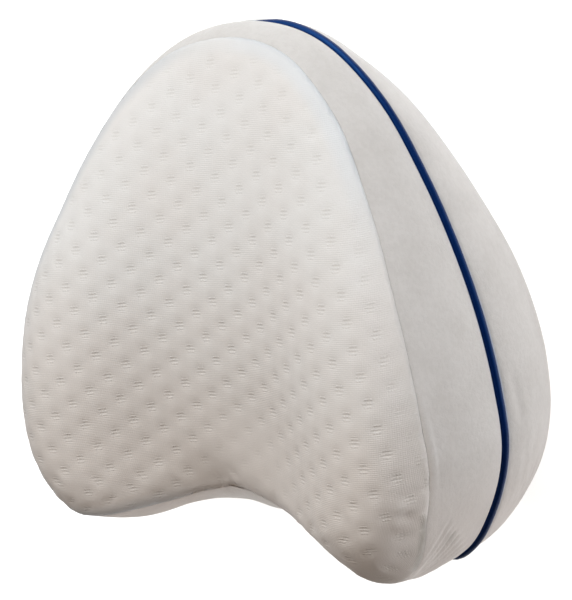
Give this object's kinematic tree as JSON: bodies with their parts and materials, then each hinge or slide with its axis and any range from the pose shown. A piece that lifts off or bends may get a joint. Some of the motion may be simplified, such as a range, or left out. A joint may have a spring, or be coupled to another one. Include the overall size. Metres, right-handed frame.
{
  "type": "contoured knee pillow",
  "caption": "Rounded-triangle foam knee pillow with a leg trough up each face, dimpled knit faces, smooth side bands and a corded seam.",
  "frame": {"origin": "on the surface the pillow rests on, under the middle of its box", "axes": "+Z out of the front face, +Y towards the rounded apex, +X across the width"},
  "size_m": [0.2492, 0.2447, 0.1327],
  "materials": {
    "face_knit": "off-white double knit with small dimples, matt",
    "band_velour": "pale grey-white smooth velour knit, matt",
    "piping_satin": "navy satin cord, soft sheen"
  },
  "bodies": {
    "root": {"cushion": "face_knit", "front_band": "band_velour", "back_band": "band_velour", "piping": "piping_satin"}
  },
  "joints": []
}
